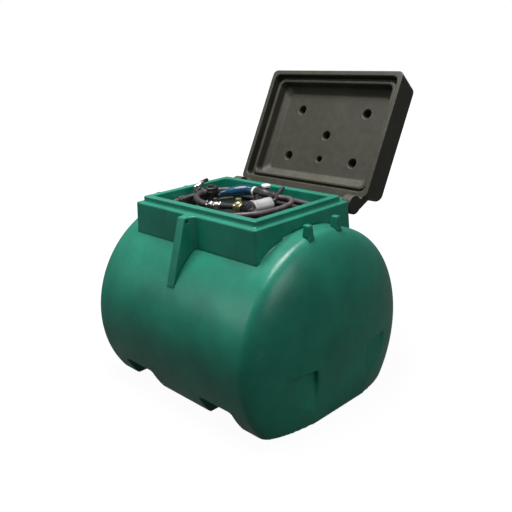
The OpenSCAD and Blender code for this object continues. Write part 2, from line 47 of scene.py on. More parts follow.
def place_camera():
    data = bpy.data.cameras.new("photo_camera")
    data.lens = 46.75
    data.sensor_width = 36.0
    data.clip_end = 60.0
    camera = bpy.data.objects.new("photo_camera", data)
    right = Vector((0.6971, 0.7155, -0.0474))
    up = Vector((-0.1971, 0.2547, 0.9468))
    back = Vector((0.68936, -0.65061, 0.31859))
    turn = Matrix((right, up, back)).transposed().to_4x4()
    camera.matrix_world = Matrix.Translation((2.6157, -2.3637, 1.8766)) @ turn
    bpy.context.scene.collection.objects.link(camera)
    bpy.context.scene.camera = camera


place_camera()


# Small helpers

def linear(hex_code):
    """An sRGB hex colour as linear red, green, blue and alpha."""
    values = [int(hex_code[i:i + 2], 16) / 255 for i in (1, 3, 5)]
    return [v / 12.92 if v <= 0.04045 else ((v + 0.055) / 1.055) ** 2.4 for v in values] + [1.0]


def add(tree, kind, links=None, ramp=None, **settings):
    """One shader node: its properties or unlinked inputs by name, its links by input name or number."""
    item = tree.nodes.new("ShaderNode" + kind)
    for key, value in settings.items():
        if hasattr(item, key):
            setattr(item, key, value)
    for key, value in settings.items():
        if not hasattr(item, key):
            item.inputs[key.replace("_", " ")].default_value = value
    for key, source in (links or {}).items():
        tree.links.new(source, item.inputs[key])
    if ramp:
        stops = item.color_ramp.elements
        while len(stops) < len(ramp):
            stops.new(0.5)
        for stop, (place, colour) in zip(stops, ramp):
            stop.position = place
            stop.color = linear(colour) if isinstance(colour, str) else (colour, colour, colour, 1)
    return item


def new_material(name):
    """An empty material with its output and a Principled shader."""
    material = bpy.data.materials.new(name)
    material.use_nodes = True
    tree = material.node_tree
    tree.nodes.clear()
    shader = add(tree, "BsdfPrincipled")
    add(tree, "OutputMaterial", {"Surface": shader.outputs[0]})
    return material, tree, shader


def object_point(tree):
    return add(tree, "TexCoord").outputs["Object"]


def paint(obj, material):
    obj.data.materials.clear()
    obj.data.materials.append(material)


def keep_mesh(name, mesh):
    obj = bpy.data.objects.new(name, mesh)
    bpy.context.scene.collection.objects.link(obj)
    return obj


def finished(name, obj):
    """A new object with the evaluated mesh of obj, which is removed."""
    bpy.context.view_layer.update()
    graph = bpy.context.evaluated_depsgraph_get()
    mesh = bpy.data.meshes.new_from_object(obj.evaluated_get(graph))
    mesh.name = name
    bpy.data.objects.remove(obj)
    return keep_mesh(name, mesh)


def mesh_from(name, bm, smooth_angle=None):
    mesh = bpy.data.meshes.new(name)
    bm.to_mesh(mesh)
    bm.free()
    obj = keep_mesh(name, mesh)
    if smooth_angle is not None:
        mesh.shade_smooth()
        mesh.set_sharp_from_angle(angle=math.radians(smooth_angle))
    return obj


# Delivery hose: the route of the part's source, in metres

BAY_Z = 0.935
HOSE_D = 0.026
LOW_Z = BAY_Z + HOSE_D / 2
LAP_R = 0.125
RUN_X = 0.408 - HOSE_D / 2 - 0.004
RUN_Y = 0.273 - HOSE_D / 2 - 0.004
PITCH = HOSE_D + 0.004
PUMP_TURN = math.radians(11)
PUMP_DIR = Vector((math.sin(PUMP_TURN), math.cos(PUMP_TURN), 0))
PUMP_SIDE = Vector((-math.cos(PUMP_TURN), math.sin(PUMP_TURN), 0))
UP = Vector((0, 0, 1))


def in_bay(x, y, z):
    """A place in the pump bay, from millimetres over the bay floor."""
    return Vector((x * MM, y * MM, BAY_Z + z * MM))


PUMP_AT = in_bay(137, -53, 65)
HEAD_MID = PUMP_AT - 0.018 * PUMP_DIR
DELIVERY_AT = HEAD_MID - 0.0513 * PUMP_SIDE
HOSE_FROM = DELIVERY_AT - 0.034 * PUMP_SIDE
NOZZLE_FROM = in_bay(150, 156, 90)
RING_AT = in_bay(-36, 147, 99)
NOZZLE_TIP = in_bay(-192, 30, 88)
BODY_DIR = (RING_AT - NOZZLE_FROM).normalized()
SPOUT_DIR = (NOZZLE_TIP - RING_AT).normalized()


def coil_corner(k, x, y, z, rise):
    cx = x - LAP_R if k in (0, 1) else LAP_R - x
    cy = y - LAP_R if k in (1, 2) else LAP_R - y
    points = []
    for j in range(5):
        a = math.radians(90 * k - 90 + 22.5 * j)
        points.append(Vector((cx + LAP_R * math.cos(a), cy + LAP_R * math.sin(a), z + rise * j / 4)))
    return points


def hose_route():
    route = [HOSE_FROM - 0.0004 * PUMP_SIDE, HOSE_FROM - 0.016 * PUMP_SIDE]
    first = ((250, -84, 58), (292, -79, 48), (330, -58, 36), (356, -24, 26), (371, 20, 18))
    route += [in_bay(*p) for p in first]
    for n in range(1, 7):
        route += coil_corner(n % 4, RUN_X, RUN_Y, LOW_Z + PITCH * (n - 0.8) / 4, PITCH / 8)
    route += coil_corner(3, RUN_X - 0.018, RUN_Y - 0.035, LOW_Z + 1.5 * PITCH, PITCH / 8)
    last = ((60, -219, 62), (130, -216, 66), (186, -203, 71), (230, -176, 75), (262, -134, 76), (281, -84, 76),
            (292, -20, 77), (296, 44, 80), (287, 98, 84), (262, 138, 88), (226, 160, 90), (190, 162, 90))
    route += [in_bay(*p) for p in last]
    # The hose ends inside the nozzle: its line runs on through the body into the sleeve
    return route + [NOZZLE_FROM - 0.014 * BODY_DIR, NOZZLE_FROM, RING_AT - 0.02 * BODY_DIR,
                    RING_AT + 0.03 * BODY_DIR, in_bay(-103, 120, 97)]


def smooth_route(route, step):
    """A smooth line through every point of the route, with points about one step apart."""
    line = []
    for i in range(len(route) - 1):
        b, c = route[i], route[i + 1]
        a = route[i - 1] if i else b * 2 - c
        d = route[i + 2] if i + 2 < len(route) else c * 2 - b
        span = (c - b).length
        before = (b - a).normalized() + (c - b).normalized()
        after = (c - b).normalized() + (d - c).normalized()
        before = before.normalized() * span
        after = after.normalized() * span
        count = max(1, round(span / step))
        for k in range(count):
            t = k / count
            line.append(b * (2 * t ** 3 - 3 * t ** 2 + 1) + before * (t ** 3 - 2 * t ** 2 + t)
                        + c * (3 * t ** 2 - 2 * t ** 3) + after * (t ** 3 - t ** 2))
    line.append(route[-1])
    return line


def make_hose():
    line = smooth_route(hose_route(), 0.012)
    data = bpy.data.curves.new("delivery_hose_tube", "CURVE")
    data.dimensions = "3D"
    data.bevel_depth = HOSE_D / 2
    data.bevel_resolution = 4
    data.use_fill_caps = True
    spline = data.splines.new("POLY")
    spline.points.add(len(line) - 1)
    for point, place in zip(spline.points, line):
        point.co = (*place, 1)
    obj = bpy.data.objects.new("delivery_hose_tube", data)
    bpy.context.scene.collection.objects.link(obj)
    length = sum((b - a).length for a, b in zip(line, line[1:]))
    return obj, length


hose, hose_length = make_hose()


# Shapes of the fittings

def turned_to(start, heading, roll=0.0):
    """The place that puts +Z along heading at start, with +X level."""
    z = heading.normalized()
    x = UP.cross(z)
    x = x.normalized() if x.length > 1e-4 else Vector((1, 0, 0))
    turn = Matrix((x, z.cross(x), z)).transposed().to_4x4()
    return Matrix.Translation(start) @ turn @ Matrix.Rotation(roll, 4, "Z")


def lathe(bm, profile, place, steps=48):
    """A closed solid of revolution: (distance along, radius) in mm from one end of the axis to the other."""
    ring = [bm.verts.new((r * MM, 0, z * MM)) for z, r in profile]
    edges = [bm.edges.new(pair) for pair in zip(ring, ring[1:])]
    made = bmesh.ops.spin(bm, geom=ring + edges, cent=(0, 0, 0), axis=(0, 0, 1), angle=2 * math.pi,
                          steps=steps, use_merge=True)
    verts = {v for v in made["geom_last"] if isinstance(v, bmesh.types.BMVert)}
    reach = set(ring) | verts
    todo = list(reach)
    while todo:
        for edge in todo.pop().link_edges:
            for v in edge.verts:
                if v not in reach:
                    reach.add(v)
                    todo.append(v)
    reach = list(reach)
    bmesh.ops.remove_doubles(bm, verts=reach, dist=1e-6)
    reach = [v for v in reach if v.is_valid]
    faces = list({f for v in reach for f in v.link_faces})
    bmesh.ops.recalc_face_normals(bm, faces=faces)
    bmesh.ops.transform(bm, matrix=place, verts=reach)


def block(bm, size, place, edge=1.5, segments=2):
    """A box of the given size in mm, centred on place, with rounded edges."""
    made = bmesh.ops.create_cube(bm, size=1.0)["verts"]
    bmesh.ops.scale(bm, vec=[v * MM for v in size], verts=made)
    bmesh.ops.transform(bm, matrix=place, verts=made)
    if edge:
        edges = list({e for v in made for e in v.link_edges})
        bmesh.ops.bevel(bm, geom=edges, offset=edge * MM, segments=segments, profile=0.5, affect="EDGES",
                        material=-1)


def prism(bm, sides, across, height, place, edge=1.0):
    """A nut or screw head standing on place: across its flats and height in mm."""
    radius = across / 2 / math.cos(math.pi / sides) * MM
    made = bmesh.ops.create_cone(bm, cap_ends=True, segments=sides, radius1=radius, radius2=radius,
                                 depth=height * MM)["verts"]
    bmesh.ops.translate(bm, vec=(0, 0, height * MM / 2), verts=made)
    bmesh.ops.transform(bm, matrix=place, verts=made)
    if edge:
        edges = list({e for v in made for e in v.link_edges})
        bmesh.ops.bevel(bm, geom=edges, offset=edge * MM, segments=2, profile=0.5, affect="EDGES", material=-1)


def round_rod(bm, start, end, radius, steps=20):
    """A rod with rounded ends between two places, radius in mm."""
    length = (end - start).length / MM
    r = radius
    lathe(bm, [(0, 0), (0, r - 0.3 * r), (0.3 * r, r), (length - 0.3 * r, r), (length, 0.7 * r), (length, 0)],
          turned_to(start, end - start), steps)


def swept(name, points, radii, bevel_steps=6, flat=None):
    """A tube through the points with its own radius in mm at each, as a mesh."""
    line = smooth_route(points, 0.004)
    data = bpy.data.curves.new(name, "CURVE")
    data.dimensions = "3D"
    data.bevel_depth = MM
    data.bevel_resolution = bevel_steps
    data.use_fill_caps = True
    spline = data.splines.new("POLY")
    spline.points.add(len(line) - 1)
    travel = [0.0]
    for a, b in zip(line, line[1:]):
        travel.append(travel[-1] + (b - a).length)
    for point, place, far in zip(spline.points, line, travel):
        t = far / travel[-1] * (len(radii) - 1)
        i = min(int(t), len(radii) - 2)
        point.co = (*place, 1)
        point.radius = radii[i] + (radii[i + 1] - radii[i]) * (t - i)
    obj = bpy.data.objects.new(name, data)
    bpy.context.scene.collection.objects.link(obj)
    obj = finished(name, obj)
    obj.data.shade_smooth()
    obj.data.set_sharp_from_angle(angle=math.radians(40))
    return obj


# Moulded skins: the solids joined, remeshed and eased so that every edge is round

def moulded(name, sources, voxel, passes, faces, fillings=()):
    """One skin over several CAD pieces; each filling is a box that closes a seam or a hollow nobody sees."""
    bm = bmesh.new()
    for source in sources:
        bm.from_mesh(nodes[source].data)
    for middle, size in fillings:
        bmesh.ops.create_cube(bm, size=1.0, matrix=Matrix.Translation(middle) @ Matrix.Diagonal((*size, 1.0)))
    bmesh.ops.remove_doubles(bm, verts=bm.verts, dist=1e-6)
    obj = mesh_from(name + "_blank", bm)
    remesh = obj.modifiers.new("skin", "REMESH")
    remesh.mode = "VOXEL"
    remesh.voxel_size = voxel
    ease = obj.modifiers.new("ease", "SMOOTH")
    ease.factor = 0.5
    ease.iterations = passes
    obj = finished(name, obj)
    triangles = sum(len(p.vertices) - 2 for p in obj.data.polygons)
    if triangles > faces:
        thin = obj.modifiers.new("thin", "DECIMATE")
        thin.ratio = faces / triangles
        obj = finished(name, obj)
    obj.data.shade_smooth()
    print(name, triangles, len(obj.data.polygons))
    return obj


BARREL_NODES = ["barrel_middle", "barrel_left_band", "barrel_right_band", "left_end", "right_end", "left_foot",
                "middle_foot", "right_foot"]
COLLAR_NODES = ["collar_front", "collar_back", "collar_left", "collar_right", "bay_floor", "lock_rib",
                "left_hinge_block", "right_hinge_block", "left_front_lug", "left_back_lug", "right_front_lug",
                "right_back_lug"]
LID_NODES = ["lid_top", "lid_front_wall", "lid_back_wall", "lid_left_wall", "lid_right_wall",
             "left_lid_knuckle", "right_lid_knuckle"]
BARREL_FILLING = [((0, 0, 0.81), (0.95, 0.67, 0.22)), ((0.473, 0, 0.92), (0.01, 0.34, 0.05)),
                  ((-0.473, 0, 0.92), (0.01, 0.34, 0.05))]
COLLAR_FILLING = [((0, -0.348, 0.90), (0.082, 0.016, 0.19)), ((0, -0.362, 0.87), (0.062, 0.02, 0.14))]
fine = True
barrel_skin = moulded("barrel_moulding", BARREL_NODES, 0.0075 if fine else 0.011, 4, 195000, BARREL_FILLING)
collar_skin = moulded("collar_moulding", COLLAR_NODES, 0.0045 if fine else 0.007, 3, 195000, COLLAR_FILLING)
lid_skin = moulded("lid_moulding", LID_NODES, 0.0036 if fine else 0.0056, 2, 195000)
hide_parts(*BARREL_NODES)
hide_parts(*COLLAR_NODES)
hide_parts(*LID_NODES)


# Materials

def cloudy(tree, point, scale, stops, detail=6.0):
    """Colour that drifts between the stops over patches of the given size."""
    cloud = add(tree, "TexNoise", {"Vector": point}, Scale=scale, Detail=detail, Roughness=0.6)
    return add(tree, "ValToRGB", {"Fac": cloud.outputs["Fac"]}, stops).outputs["Color"]


def mixed(tree, fac, first, second):
    """Second colour over first by fac, each a socket or a hex colour."""
    item = add(tree, "Mix", data_type="RGBA")
    tree.links.new(fac, item.inputs["Factor"])
    for key, colour in (("A", first), ("B", second)):
        socket = [i for i in item.inputs if i.name == key and i.type == "RGBA"][0]
        if isinstance(colour, str):
            socket.default_value = linear(colour)
        else:
            tree.links.new(colour, socket)
    return [o for o in item.outputs if o.type == "RGBA"][0]


def rotomoulded(name, stops, dust_and_top_light_colour, dust_and_top_light_amount, roughness, gloss, painted_shade=None):
    """Linear polyethylene, rotomoulded: a satin skin with soft mottling and orange peel, scuffs, and on faces that
    point up a lighter film that is partly dust and partly painted top light; an optional mask paints shade in near
    black.
    """
    material, tree, shader = new_material(name)
    point = object_point(tree)
    tone = cloudy(tree, point, 3.5, stops)
    # Faces that point up get a lighter film in patches: partly dust, partly painted top light. The scuffs are real
    # wear.
    facing = add(tree, "SeparateXYZ", {"Vector": add(tree, "NewGeometry").outputs["Normal"]})
    upward_dust_and_painted_light = add(tree, "MapRange", {"Value": facing.outputs["Z"]}, From_Min=0.2, From_Max=1.0, To_Min=0.0,
                 To_Max=dust_and_top_light_amount)
    specks = add(tree, "TexNoise", {"Vector": point}, Scale=24.0, Detail=8.0, Roughness=0.7)
    patch = add(tree, "ValToRGB", {"Fac": specks.outputs["Fac"]}, [(0.30, 0.55), (0.70, 1.0)])
    dust_and_painted_light_film = add(tree, "Math", {0: upward_dust_and_painted_light.outputs[0], 1: patch.outputs["Color"]}, operation="MULTIPLY")
    scuffs = add(tree, "TexNoise", {"Vector": point}, Scale=11.0, Detail=10.0, Roughness=0.75, Distortion=0.6)
    marks = add(tree, "ValToRGB", {"Fac": scuffs.outputs["Fac"]}, [(0.62, 0.0), (0.80, 0.25)])
    wear_dust_and_painted_light = add(tree, "Math", {0: dust_and_painted_light_film.outputs[0], 1: marks.outputs["Color"]}, operation="MAXIMUM")
    colour = mixed(tree, wear_dust_and_painted_light.outputs[0], tone, dust_and_top_light_colour)
    # Painted shade: where the mask is given, the skin darkens towards near black #0b0f0d.
    if painted_shade:
        colour = mixed(tree, painted_shade(tree, point, specks), colour, "#0b0f0d")
    tree.links.new(colour, shader.inputs["Base Color"])
    grain = add(tree, "TexNoise", {"Vector": point}, Scale=260.0, Detail=3.0)
    waves = add(tree, "TexNoise", {"Vector": point}, Scale=9.0, Detail=2.0)
    rough = add(tree, "MapRange", {"Value": specks.outputs["Fac"]}, From_Min=0.3, From_Max=0.7,
                To_Min=roughness - 0.05, To_Max=roughness + 0.07)
    tree.links.new(rough.outputs[0], shader.inputs["Roughness"])
    wavy = add(tree, "Bump", {"Height": waves.outputs["Fac"]}, Strength=0.25, Distance=0.004)
    bump = add(tree, "Bump", {"Height": grain.outputs["Fac"], "Normal": wavy.outputs["Normal"]}, Strength=0.12,
               Distance=0.0006)
    tree.links.new(bump.outputs["Normal"], shader.inputs["Normal"])
    shader.inputs["IOR"].default_value = 1.5
    shader.inputs["Specular IOR Level"].default_value = gloss
    return material


def bay_floor_painted_shade(tree, point, specks):
    """Painted shade on the floor of the pump bay, near black where the recess lies in shadow, thinning out up its
    walls.
    """
    place = add(tree, "SeparateXYZ", {"Vector": point})
    masks = []
    for axis, low, high in (("X", 0.412, 0.404), ("Y", 0.277, 0.269)):
        size = add(tree, "Math", {0: place.outputs[axis]}, operation="ABSOLUTE")
        masks.append(add(tree, "MapRange", {"Value": size.outputs[0]}, From_Min=high, From_Max=low, To_Min=1.0,
                         To_Max=0.0))
    height = add(tree, "MapRange", {"Value": place.outputs["Z"]}, From_Min=BAY_Z + 0.008, From_Max=BAY_Z + 0.055,
                 To_Min=0.96, To_Max=0.0)
    inside = add(tree, "Math", {0: masks[0].outputs[0], 1: masks[1].outputs[0]}, operation="MULTIPLY")
    deep = add(tree, "Math", {0: inside.outputs[0], 1: height.outputs[0]}, operation="MULTIPLY")
    above = add(tree, "MapRange", {"Value": place.outputs["Z"]}, From_Min=BAY_Z - 0.02, From_Max=BAY_Z - 0.008,
                To_Min=0.0, To_Max=1.0)
    return add(tree, "Math", {0: deep.outputs[0], 1: above.outputs[0]}, operation="MULTIPLY").outputs[0]


def finish_of(name, stops, scale, roughness, spread=0.06, metallic=0.0, ior=None, grain=0.0, grain_scale=700.0):
    """A material whose tone and gloss drift a little; grain is the depth of its surface texture in mm."""
    material, tree, shader = new_material(name)
    point = object_point(tree)
    tree.links.new(cloudy(tree, point, scale, stops), shader.inputs["Base Color"])
    wear = add(tree, "TexNoise", {"Vector": point}, Scale=scale * 2.3, Detail=6.0)
    rough = add(tree, "MapRange", {"Value": wear.outputs["Fac"]}, From_Min=0.3, From_Max=0.7,
                To_Min=roughness - spread, To_Max=roughness + spread)
    tree.links.new(rough.outputs[0], shader.inputs["Roughness"])
    shader.inputs["Metallic"].default_value = metallic
    if ior:
        shader.inputs["IOR"].default_value = ior
    if grain:
        texture = add(tree, "TexNoise", {"Vector": point}, Scale=grain_scale, Detail=2.0)
        bump = add(tree, "Bump", {"Height": texture.outputs["Fac"]}, Strength=0.5, Distance=grain * MM)
        tree.links.new(bump.outputs["Normal"], shader.inputs["Normal"])
    return material


# Green polyethylene from the rotomoulding oven: deep and slightly blue, lighter where it faces the sky, partly chalky
# dust and partly painted top light
# The bay floor mask paints shade near black on the floor of the pump bay.
green = rotomoulded("polyethylene_rotomoulded_green",
                    [(0.30, "#126a57"), (0.5, "#177963"), (0.72, "#1c866e")], "#7fb5a4", 0.10, 0.32, 0.4,
                    bay_floor_painted_shade)
# Black polyethylene, the same process: a brownish black that greys in patches, mostly on faces that point up, partly
# dust and partly painted top light
black = rotomoulded("polyethylene_rotomoulded_black",
                    [(0.30, "#27271f"), (0.5, "#2c2b24"), (0.72, "#36352c")], "#77766a", 0.55, 0.42, 0.22)
# Mild steel, zinc plated: light grey with a faint warm cloud
zinc = finish_of("steel_zinc_plated", [(0.3, "#c4c3bd"), (0.7, "#dedddb")], 40.0, 0.28, metallic=1.0)
# Aluminium casing in silver paint: pale and satin, its tone is even
silver = finish_of("aluminium_spray_painted_silver", [(0.3, "#c9c7c8"), (0.7, "#e2e0e1")], 12.0, 0.28, 0.04, 0.5)
# Brass, sand cast: pale yellow-green with a matt skin
brass = finish_of("brass_sand_cast", [(0.3, "#c9bf86"), (0.7, "#e2dcae")], 50.0, 0.34, metallic=1.0, grain=0.15)
# Cast iron with a black coating: rough, grey where it is rubbed
iron = finish_of("cast_iron_coated_black", [(0.3, "#161617"), (0.6, "#212122"), (0.8, "#3a3a39")], 60.0, 0.5,
                 grain=0.2)
# Nitrile rubber hose, extruded: grey with a dusty pinkish bloom
rubber = finish_of("nitrile_rubber_extruded", [(0.3, "#474143"), (0.7, "#675f62")], 22.0, 0.42, grain=0.08)
# Nitrile rubber, moulded: the dark short pipe to the filter
dark_rubber = finish_of("nitrile_rubber_moulded", [(0.3, "#2c2a29"), (0.7, "#454140")], 26.0, 0.5)
# Glass-filled nylon, injection moulded: black with a low gloss
nylon = finish_of("nylon_injection_moulded_black", [(0.3, "#1c1a1b"), (0.7, "#343132")], 40.0, 0.38)
# Vinyl sleeve, dip moulded: glossy blue
blue = finish_of("vinyl_dip_moulded_blue", [(0.3, "#0b3650"), (0.7, "#124a66")], 12.0, 0.28)
# Polypropylene, injection moulded: a milky white
white = finish_of("polypropylene_injection_moulded_white", [(0.3, "#d3dcd6"), (0.7, "#e8ece8")], 30.0, 0.3)

for skin, material, body, slot_name in ((barrel_skin, green, TANK, "tank_green"),
                                        (collar_skin, green, TANK, "tank_green"), (lid_skin, black, LID, "lid_black")):
    paint(skin, material)
    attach(skin, body)
hose.data.materials.append(rubber)
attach(hose, TANK)
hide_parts("delivery_hose")


# Fittings in the bay: most take the place of the solid that they are named for, and the others are added details

def fitting(name, bm, material, node=None):
    obj = mesh_from(name, bm, 32)
    return fitted(obj, material, node)


def fitted(obj, material, node=None):
    paint(obj, material)
    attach(obj, TANK)
    if node:
        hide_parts(node)
    return obj


def on_ring(place, radius, count, phase=0.0):
    """Places round the axis of place, radius in mm."""
    return [place @ Matrix.Rotation(2 * math.pi * (k + phase) / count, 4, "Z") @ Matrix.Translation((radius * MM, 0, 0))
            for k in range(count)]


def clamp_band(bm, place, radius, width=9):
    """A worm-drive hose clamp: its band and the housing of its screw."""
    lathe(bm, [(0, radius - 2), (0, radius + 0.8), (width, radius + 0.8), (width, radius - 2), (0, radius - 2)],
          place, 40)
    block(bm, (8, 15, 9), place @ Matrix.Translation(((radius + 5) * MM, 0, width / 2 * MM)), 1.2)
    screw = place @ Matrix.Translation(((radius + 5) * MM, -8 * MM, width / 2 * MM)) @ Matrix.Rotation(math.pi / 2, 4, "X")
    prism(bm, 6, 7, 4, screw, 0.5)


def make_motor():
    place = turned_to(PUMP_AT + 0.0003 * PUMP_DIR, PUMP_DIR)
    bm = bmesh.new()
    lathe(bm, [(14, 0), (14, 41), (15.5, 43.2), (19, 43.2), (20.5, 41.8), (128, 41.8), (128, 0)], place, 72)
    fitting("pump_motor_casing", bm, silver, "pump_motor")
    bm = bmesh.new()
    lathe(bm, [(128.2, 0), (128.2, 42.8), (130, 43.4), (133, 43), (137, 39), (139.5, 33), (140, 29), (140, 12),
               (138.5, 10), (138.5, 0)], place, 64)
    lathe(bm, [(-12, 0), (-12, 39), (-10.5, 41.5), (10, 41.5), (13.8, 39), (13.8, 0)], place, 64)
    for spot in on_ring(place @ Matrix.Translation((0, 0, -0.012)), 35, 4, 0.5):
        prism(bm, 6, 8, -4, spot, 0)
    for k in range(16):
        turn = place @ Matrix.Rotation(2 * math.pi * k / 16, 4, "Z")
        block(bm, (8, 2.4, 3), turn @ Matrix.Translation((0.033, 0, 0.1358)) @ Matrix.Rotation(0.75, 4, "Y"), 0.6)
    fitting("motor_end_bell", bm, nylon)
    # A bare plate on the casing
    bm = bmesh.new()
    line = [bm.verts.new((0.0419, 0, z)) for z in (0.024, 0.086)]
    edge = bm.edges.new(line)
    made = bmesh.ops.spin(bm, geom=line + [edge], cent=(0, 0, 0), axis=(0, 0, 1), angle=1.15, steps=14)
    bmesh.ops.solidify(bm, geom=bm.faces[:], thickness=-0.0007)
    bmesh.ops.transform(bm, matrix=place @ Matrix.Rotation(0.55, 4, "Z"), verts=bm.verts[:])
    bmesh.ops.recalc_face_normals(bm, faces=bm.faces[:])
    fitting("motor_bare_plate", bm, zinc)
    bm = bmesh.new()
    block(bm, (30, 34, 18), place @ Matrix.Rotation(-0.5, 4, "Z") @ Matrix.Translation((0.0, 0.048, 0.062)), 3)
    lathe(bm, [(0, 0), (0, 8), (14, 8), (14, 5.5), (20, 5), (20, 0)],
          place @ Matrix.Rotation(-0.5, 4, "Z") @ Matrix.Translation((0.0, 0.049, 0.070)), 20)
    fitting("motor_terminal_box", bm, nylon)


def make_pump_head():
    place = turned_to(PUMP_AT - 0.036 * PUMP_DIR, PUMP_DIR)
    bm = bmesh.new()
    lathe(bm, [(0, 0), (0, 16), (2, 18), (2, 30), (4, 33), (8, 35), (9, 41), (11, 43), (20, 43), (23.5, 41), (23.5, 0)],
          place, 64)
    for spot in on_ring(place @ Matrix.Translation((0, 0, 0.009)), 38, 6):
        prism(bm, 6, 8, -5, spot, 0)
    for side, reach in ((PUMP_SIDE, 44), (-PUMP_SIDE, 51)):
        port = turned_to(HEAD_MID, side)
        lathe(bm, [(0, 0), (0, 16), (reach - 8, 15), (reach - 7, 17), (reach, 17), (reach, 0)], port, 40)
    fitting("pump_head_casting", bm, iron, "pump_head")


def make_delivery_elbow():
    place = turned_to(DELIVERY_AT, -PUMP_SIDE)
    bm = bmesh.new()
    prism(bm, 6, 41, 14, place, 1.5)
    lathe(bm, [(13, 0), (13, 18), (34, 18), (34, 0)], place, 40)
    fitting("delivery_nut_and_tail", bm, iron, "delivery_elbow")
    bm = bmesh.new()
    clamp_band(bm, turned_to(HOSE_FROM - 0.004 * PUMP_SIDE, -PUMP_SIDE), 15.4)
    fitting("delivery_hose_clamp", bm, zinc)


def make_hose_coupling():
    """The two-ferrule coupling where the hose turns at the front left corner of the bay."""
    line = smooth_route(hose_route(), 0.012)
    spot = in_bay(-352, -100, 62)
    k = min(range(1, len(line) - 3), key=lambda i: (line[i] - spot).length)
    place = turned_to(line[k - 1], line[k + 2] - line[k - 1])
    reach = (line[k + 2] - line[k - 1]).length / MM
    bm = bmesh.new()
    lathe(bm, [(0, 14), (0, 17.5), (2, 19), (reach - 2, 19), (reach, 17.5), (reach, 14), (0, 14)], place, 36)
    fitting("hose_coupling_sleeve", bm, nylon)
    bm = bmesh.new()
    for at in (5, reach - 13):
        clamp_band(bm, place @ Matrix.Translation((0, 0, at * MM)), 19.2)
    fitting("hose_coupling_clamps", bm, zinc)


ELBOW_IN = HEAD_MID + 0.0533 * PUMP_SIDE
ELBOW_MID = ELBOW_IN + 0.026 * PUMP_SIDE
VALVE_TO = in_bay(-128, -100, 58)
VALVE_DIR = (VALVE_TO - ELBOW_MID).normalized()
VALVE_FROM = VALVE_TO - 0.076 * VALVE_DIR


def make_suction_elbow():
    bm = bmesh.new()
    prism(bm, 6, 38, 15, turned_to(ELBOW_IN, PUMP_SIDE), 1.5)
    lathe(bm, [(0, 0), (0, 18), (4, 22), (12, 23.5), (44, 23.5), (50, 21), (54, 17), (56, 15), (60, 15), (62, 13),
               (62, 0)], turned_to(ELBOW_MID - 0.026 * UP, UP), 48)
    lathe(bm, [(10, 0), (10, 17), (30, 17), (30, 0)], turned_to(ELBOW_IN, PUMP_SIDE), 40)
    prism(bm, 6, 40, 12, turned_to(ELBOW_IN - 0.0092 * PUMP_SIDE, PUMP_SIDE), 1.5)
    prism(bm, 6, 30, 13, turned_to(ELBOW_MID + 0.034 * UP, UP), 1.5)
    prism(bm, 6, 34, 12, turned_to(ELBOW_MID + 0.018 * VALVE_DIR, VALVE_DIR), 1.5)
    fitting("brass_elbow_casting", bm, brass, "suction_elbow")
    reach = (VALVE_FROM - ELBOW_MID).length / MM
    bm = bmesh.new()
    arm = turned_to(ELBOW_MID + 0.030 * VALVE_DIR, VALVE_DIR)
    lathe(bm, [(0, 0), (0, 15), (3, 17), (reach - 54, 17), (reach - 51, 20), (reach - 31, 20), (reach - 31, 0)], arm, 40)
    prism(bm, 6, 38, 14, arm @ Matrix.Translation((0, 0, (reach - 46) * MM)), 1.5)
    fitting("suction_check_valve", bm, iron)


def make_ball_valve():
    bm = bmesh.new()
    place = turned_to(VALVE_FROM, VALVE_DIR)
    prism(bm, 6, 40, 18, place, 1.5)
    prism(bm, 6, 40, 18, place @ Matrix.Translation((0, 0, 0.058)), 1.5)
    lathe(bm, [(14, 0), (14, 15), (20, 17), (26, 20.5), (38, 22), (50, 20.5), (56, 17), (62, 15), (62, 0)], place, 48)
    stem = turned_to(VALVE_FROM + 0.038 * VALVE_DIR, UP)
    lathe(bm, [(0, 0), (0, 12), (22, 12), (22, 7), (26.2, 7), (26.2, 0)], stem, 32)
    prism(bm, 6, 18, 5, stem @ Matrix.Translation((0, 0, 0.0345)), 0.8)
    fitting("ball_valve_body", bm, zinc, "ball_valve")
    bm = bmesh.new()
    swing = Matrix.Translation(VALVE_FROM + 0.038 * VALVE_DIR + 0.0263 * UP) @ Matrix.Rotation(math.radians(-28), 4, "Z")
    lathe(bm, [(0, 0), (0, 12), (9, 12), (9, 0)], swing, 32)
    block(bm, (18, 34, 6), swing @ Matrix.Translation((0, 0.017, 0.0045)), 1.6)
    block(bm, (24, 74, 12), swing @ Matrix.Translation((0, 0.064, 0.006)), 4.5, 4)
    fitting("valve_lever_handle", bm, nylon, "valve_lever")


def make_suction_pipe():
    places = [VALVE_TO + 0.0004 * VALVE_DIR, VALVE_TO + 0.014 * VALVE_DIR]
    places += [in_bay(*p) for p in ((-178, -108, 62), (-214, -106, 67), (-248, -94, 73), (-274, -72, 79),
                                    (-291, -42, 84), (-299, -12, 86), (-300, 13, 86))]
    pipe = swept("suction_pipe_moulding", places, [17.5] * 6, 7)
    fitted(pipe, dark_rubber, "suction_pipe")
    bm = bmesh.new()
    clamp_band(bm, turned_to(VALVE_TO + 0.008 * VALVE_DIR, VALVE_DIR, 1.2), 18.2, 10)
    clamp_band(bm, turned_to(in_bay(-299.5, -8, 86), Vector((0, 1, 0)), 1.2), 18.2, 10)
    fitting("suction_pipe_clamps", bm, zinc)


